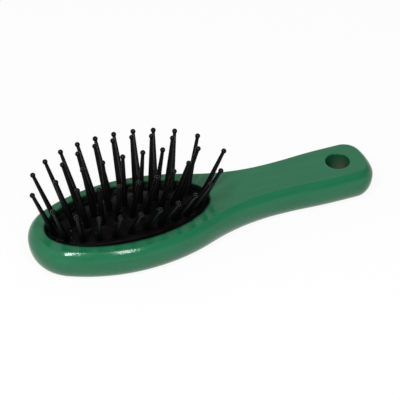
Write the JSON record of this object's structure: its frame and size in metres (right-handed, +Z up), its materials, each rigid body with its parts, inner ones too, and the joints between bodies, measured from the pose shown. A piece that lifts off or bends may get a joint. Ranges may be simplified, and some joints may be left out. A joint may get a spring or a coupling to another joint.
{
  "type": "hair brush",
  "caption": "Small oval cushion hair brush: green lacquered wooden board with a hanging hole, black domed rubber cushion and black ball-tipped pins that fan out of it.",
  "frame": {"origin": "under the middle of the length, on the flat back that the brush lies on", "axes": "+X along the brush from the head to the grip, +Y across it, +Z up along the pins"},
  "size_m": [0.12, 0.0442, 0.0356],
  "materials": {
    "lacquered_wood": "green satin-gloss lacquer on wood",
    "black_rubber": "black moulded rubber, matt",
    "black_nylon": "black moulded nylon, glossy"
  },
  "bodies": {
    "handle": {"handle_body": "lacquered_wood"},
    "cushion": {"rubber_cushion": "black_rubber"},
    "pin_outer_01": {"pin_outer_01": "black_nylon"},
    "pin_outer_02": {"pin_outer_02": "black_nylon"},
    "pin_outer_03": {"pin_outer_03": "black_nylon"},
    "pin_outer_04": {"pin_outer_04": "black_nylon"},
    "pin_outer_05": {"pin_outer_05": "black_nylon"},
    "pin_outer_06": {"pin_outer_06": "black_nylon"},
    "pin_outer_07": {"pin_outer_07": "black_nylon"},
    "pin_outer_08": {"pin_outer_08": "black_nylon"},
    "pin_outer_09": {"pin_outer_09": "black_nylon"},
    "pin_outer_10": {"pin_outer_10": "black_nylon"},
    "pin_outer_11": {"pin_outer_11": "black_nylon"},
    "pin_outer_12": {"pin_outer_12": "black_nylon"},
    "pin_outer_13": {"pin_outer_13": "black_nylon"},
    "pin_outer_14": {"pin_outer_14": "black_nylon"},
    "pin_outer_15": {"pin_outer_15": "black_nylon"},
    "pin_outer_16": {"pin_outer_16": "black_nylon"},
    "pin_outer_17": {"pin_outer_17": "black_nylon"},
    "pin_outer_18": {"pin_outer_18": "black_nylon"},
    "pin_outer_19": {"pin_outer_19": "black_nylon"},
    "pin_outer_20": {"pin_outer_20": "black_nylon"},
    "pin_outer_21": {"pin_outer_21": "black_nylon"},
    "pin_outer_22": {"pin_outer_22": "black_nylon"},
    "pin_middle_01": {"pin_middle_01": "black_nylon"},
    "pin_middle_02": {"pin_middle_02": "black_nylon"},
    "pin_middle_03": {"pin_middle_03": "black_nylon"},
    "pin_middle_04": {"pin_middle_04": "black_nylon"},
    "pin_middle_05": {"pin_middle_05": "black_nylon"},
    "pin_middle_06": {"pin_middle_06": "black_nylon"},
    "pin_middle_07": {"pin_middle_07": "black_nylon"},
    "pin_middle_08": {"pin_middle_08": "black_nylon"},
    "pin_middle_09": {"pin_middle_09": "black_nylon"},
    "pin_middle_10": {"pin_middle_10": "black_nylon"},
    "pin_middle_11": {"pin_middle_11": "black_nylon"},
    "pin_middle_12": {"pin_middle_12": "black_nylon"},
    "pin_middle_13": {"pin_middle_13": "black_nylon"},
    "pin_middle_14": {"pin_middle_14": "black_nylon"},
    "pin_middle_15": {"pin_middle_15": "black_nylon"},
    "pin_middle_16": {"pin_middle_16": "black_nylon"},
    "pin_centre_1": {"pin_centre_1": "black_nylon"},
    "pin_centre_2": {"pin_centre_2": "black_nylon"},
    "pin_centre_3": {"pin_centre_3": "black_nylon"},
    "pin_centre_4": {"pin_centre_4": "black_nylon"},
    "pin_centre_5": {"pin_centre_5": "black_nylon"}
  },
  "joints": [
    {"name": "cushion_press", "type": "slide", "parent": "handle", "child": "cushion", "axis": [0, 0, -1], "range_m": [0, 0.0015], "stiffness_N_per_m": 4000, "deforming": ["rubber_cushion"]},
    {"name": "rock_outer_01", "type": "hinge", "parent": "cushion", "child": "pin_outer_01", "pos_m": [-0.05105, 0, 0.00864], "axis": [1, 0, 0], "range_deg": [-10, 10], "stiffness_Nm_per_rad": 0.03},
    {"name": "rock_outer_02", "type": "hinge", "parent": "cushion", "child": "pin_outer_02", "pos_m": [-0.04852, -0.00411, 0.00905], "axis": [1, 0, 0], "range_deg": [-10, 10], "stiffness_Nm_per_rad": 0.03},
    {"name": "rock_outer_03", "type": "hinge", "parent": "cushion", "child": "pin_outer_03", "pos_m": [-0.04405, -0.00651, 0.00967], "axis": [1, 0, 0], "range_deg": [-10, 10], "stiffness_Nm_per_rad": 0.03},
    {"name": "rock_outer_04", "type": "hinge", "parent": "cushion", "child": "pin_outer_04", "pos_m": [-0.03915, -0.00799, 0.01018], "axis": [1, 0, 0], "range_deg": [-10, 10], "stiffness_Nm_per_rad": 0.03},
    {"name": "rock_outer_05", "type": "hinge", "parent": "cushion", "child": "pin_outer_05", "pos_m": [-0.03409, -0.00888, 0.01053], "axis": [1, 0, 0], "range_deg": [-10, 10], "stiffness_Nm_per_rad": 0.03},
    {"name": "rock_outer_06", "type": "hinge", "parent": "cushion", "child": "pin_outer_06", "pos_m": [-0.02897, -0.00929, 0.01071], "axis": [1, 0, 0], "range_deg": [-10, 10], "stiffness_Nm_per_rad": 0.03},
    {"name": "rock_outer_07", "type": "hinge", "parent": "cushion", "child": "pin_outer_07", "pos_m": [-0.02383, -0.00929, 0.01071], "axis": [1, 0, 0], "range_deg": [-10, 10], "stiffness_Nm_per_rad": 0.03},
    {"name": "rock_outer_08", "type": "hinge", "parent": "cushion", "child": "pin_outer_08", "pos_m": [-0.01871, -0.00888, 0.01053], "axis": [1, 0, 0], "range_deg": [-10, 10], "stiffness_Nm_per_rad": 0.03},
    {"name": "rock_outer_09", "type": "hinge", "parent": "cushion", "child": "pin_outer_09", "pos_m": [-0.01365, -0.00799, 0.01018], "axis": [1, 0, 0], "range_deg": [-10, 10], "stiffness_Nm_per_rad": 0.03},
    {"name": "rock_outer_10", "type": "hinge", "parent": "cushion", "child": "pin_outer_10", "pos_m": [-0.00875, -0.00651, 0.00967], "axis": [1, 0, 0], "range_deg": [-10, 10], "stiffness_Nm_per_rad": 0.03},
    {"name": "rock_outer_11", "type": "hinge", "parent": "cushion", "child": "pin_outer_11", "pos_m": [-0.00428, -0.00411, 0.00905], "axis": [1, 0, 0], "range_deg": [-10, 10], "stiffness_Nm_per_rad": 0.03},
    {"name": "rock_outer_12", "type": "hinge", "parent": "cushion", "child": "pin_outer_12", "pos_m": [-0.00181, 0, 0.00867], "axis": [1, 0, 0], "range_deg": [-10, 10], "stiffness_Nm_per_rad": 0.03},
    {"name": "rock_outer_13", "type": "hinge", "parent": "cushion", "child": "pin_outer_13", "pos_m": [-0.00428, 0.00411, 0.00905], "axis": [1, 0, 0], "range_deg": [-10, 10], "stiffness_Nm_per_rad": 0.03},
    {"name": "rock_outer_14", "type": "hinge", "parent": "cushion", "child": "pin_outer_14", "pos_m": [-0.00875, 0.00651, 0.00967], "axis": [1, 0, 0], "range_deg": [-10, 10], "stiffness_Nm_per_rad": 0.03},
    {"name": "rock_outer_15", "type": "hinge", "parent": "cushion", "child": "pin_outer_15", "pos_m": [-0.01365, 0.00799, 0.01018], "axis": [1, 0, 0], "range_deg": [-10, 10], "stiffness_Nm_per_rad": 0.03},
    {"name": "rock_outer_16", "type": "hinge", "parent": "cushion", "child": "pin_outer_16", "pos_m": [-0.01871, 0.00888, 0.01053], "axis": [1, 0, 0], "range_deg": [-10, 10], "stiffness_Nm_per_rad": 0.03},
    {"name": "rock_outer_17", "type": "hinge", "parent": "cushion", "child": "pin_outer_17", "pos_m": [-0.02383, 0.00929, 0.01071], "axis": [1, 0, 0], "range_deg": [-10, 10], "stiffness_Nm_per_rad": 0.03},
    {"name": "rock_outer_18", "type": "hinge", "parent": "cushion", "child": "pin_outer_18", "pos_m": [-0.02897, 0.00929, 0.01071], "axis": [1, 0, 0], "range_deg": [-10, 10], "stiffness_Nm_per_rad": 0.03},
    {"name": "rock_outer_19", "type": "hinge", "parent": "cushion", "child": "pin_outer_19", "pos_m": [-0.03409, 0.00888, 0.01053], "axis": [1, 0, 0], "range_deg": [-10, 10], "stiffness_Nm_per_rad": 0.03},
    {"name": "rock_outer_20", "type": "hinge", "parent": "cushion", "child": "pin_outer_20", "pos_m": [-0.03915, 0.00799, 0.01018], "axis": [1, 0, 0], "range_deg": [-10, 10], "stiffness_Nm_per_rad": 0.03},
    {"name": "rock_outer_21", "type": "hinge", "parent": "cushion", "child": "pin_outer_21", "pos_m": [-0.04405, 0.00651, 0.00967], "axis": [1, 0, 0], "range_deg": [-10, 10], "stiffness_Nm_per_rad": 0.03},
    {"name": "rock_outer_22", "type": "hinge", "parent": "cushion", "child": "pin_outer_22", "pos_m": [-0.04852, 0.00411, 0.00905], "axis": [1, 0, 0], "range_deg": [-10, 10], "stiffness_Nm_per_rad": 0.03},
    {"name": "rock_middle_01", "type": "hinge", "parent": "cushion", "child": "pin_middle_01", "pos_m": [-0.04481, 0, 0.01103], "axis": [1, 0, 0], "range_deg": [-10, 10], "stiffness_Nm_per_rad": 0.03},
    {"name": "rock_middle_02", "type": "hinge", "parent": "cushion", "child": "pin_middle_02", "pos_m": [-0.04121, -0.00285, 0.01179], "axis": [1, 0, 0], "range_deg": [-10, 10], "stiffness_Nm_per_rad": 0.03},
    {"name": "rock_middle_03", "type": "hinge", "parent": "cushion", "child": "pin_middle_03", "pos_m": [-0.03647, -0.00401, 0.01254], "axis": [1, 0, 0], "range_deg": [-10, 10], "stiffness_Nm_per_rad": 0.03},
    {"name": "rock_middle_04", "type": "hinge", "parent": "cushion", "child": "pin_middle_04", "pos_m": [-0.0316, -0.00458, 0.01301], "axis": [1, 0, 0], "range_deg": [-10, 10], "stiffness_Nm_per_rad": 0.03},
    {"name": "rock_middle_05", "type": "hinge", "parent": "cushion", "child": "pin_middle_05", "pos_m": [-0.0267, -0.00476, 0.01319], "axis": [1, 0, 0], "range_deg": [-10, 10], "stiffness_Nm_per_rad": 0.03},
    {"name": "rock_middle_06", "type": "hinge", "parent": "cushion", "child": "pin_middle_06", "pos_m": [-0.02179, -0.00458, 0.01306], "axis": [1, 0, 0], "range_deg": [-10, 10], "stiffness_Nm_per_rad": 0.03},
    {"name": "rock_middle_07", "type": "hinge", "parent": "cushion", "child": "pin_middle_07", "pos_m": [-0.01693, -0.00401, 0.01264], "axis": [1, 0, 0], "range_deg": [-10, 10], "stiffness_Nm_per_rad": 0.03},
    {"name": "rock_middle_08", "type": "hinge", "parent": "cushion", "child": "pin_middle_08", "pos_m": [-0.01218, -0.00284, 0.01194], "axis": [1, 0, 0], "range_deg": [-10, 10], "stiffness_Nm_per_rad": 0.03},
    {"name": "rock_middle_09", "type": "hinge", "parent": "cushion", "child": "pin_middle_09", "pos_m": [-0.00863, 0, 0.01124], "axis": [1, 0, 0], "range_deg": [-10, 10], "stiffness_Nm_per_rad": 0.03},
    {"name": "rock_middle_10", "type": "hinge", "parent": "cushion", "child": "pin_middle_10", "pos_m": [-0.01218, 0.00284, 0.01194], "axis": [1, 0, 0], "range_deg": [-10, 10], "stiffness_Nm_per_rad": 0.03},
    {"name": "rock_middle_11", "type": "hinge", "parent": "cushion", "child": "pin_middle_11", "pos_m": [-0.01693, 0.00401, 0.01264], "axis": [1, 0, 0], "range_deg": [-10, 10], "stiffness_Nm_per_rad": 0.03},
    {"name": "rock_middle_12", "type": "hinge", "parent": "cushion", "child": "pin_middle_12", "pos_m": [-0.02179, 0.00458, 0.01306], "axis": [1, 0, 0], "range_deg": [-10, 10], "stiffness_Nm_per_rad": 0.03},
    {"name": "rock_middle_13", "type": "hinge", "parent": "cushion", "child": "pin_middle_13", "pos_m": [-0.0267, 0.00476, 0.01319], "axis": [1, 0, 0], "range_deg": [-10, 10], "stiffness_Nm_per_rad": 0.03},
    {"name": "rock_middle_14", "type": "hinge", "parent": "cushion", "child": "pin_middle_14", "pos_m": [-0.0316, 0.00458, 0.01301], "axis": [1, 0, 0], "range_deg": [-10, 10], "stiffness_Nm_per_rad": 0.03},
    {"name": "rock_middle_15", "type": "hinge", "parent": "cushion", "child": "pin_middle_15", "pos_m": [-0.03647, 0.00401, 0.01254], "axis": [1, 0, 0], "range_deg": [-10, 10], "stiffness_Nm_per_rad": 0.03},
    {"name": "rock_middle_16", "type": "hinge", "parent": "cushion", "child": "pin_middle_16", "pos_m": [-0.04121, 0.00285, 0.01179], "axis": [1, 0, 0], "range_deg": [-10, 10], "stiffness_Nm_per_rad": 0.03},
    {"name": "rock_centre_1", "type": "hinge", "parent": "cushion", "child": "pin_centre_1", "pos_m": [-0.03778, 0, 0.0129], "axis": [1, 0, 0], "range_deg": [-10, 10], "stiffness_Nm_per_rad": 0.03},
    {"name": "rock_centre_2", "type": "hinge", "parent": "cushion", "child": "pin_centre_2", "pos_m": [-0.03259, 0, 0.01371], "axis": [1, 0, 0], "range_deg": [-10, 10], "stiffness_Nm_per_rad": 0.03},
    {"name": "rock_centre_3", "type": "hinge", "parent": "cushion", "child": "pin_centre_3", "pos_m": [-0.02739, 0, 0.01404], "axis": [1, 0, 0], "range_deg": [-10, 10], "stiffness_Nm_per_rad": 0.03},
    {"name": "rock_centre_4", "type": "hinge", "parent": "cushion", "child": "pin_centre_4", "pos_m": [-0.02219, 0, 0.01389], "axis": [1, 0, 0], "range_deg": [-10, 10], "stiffness_Nm_per_rad": 0.03},
    {"name": "rock_centre_5", "type": "hinge", "parent": "cushion", "child": "pin_centre_5", "pos_m": [-0.017, 0, 0.01326], "axis": [1, 0, 0], "range_deg": [-10, 10], "stiffness_Nm_per_rad": 0.03}
  ]
}
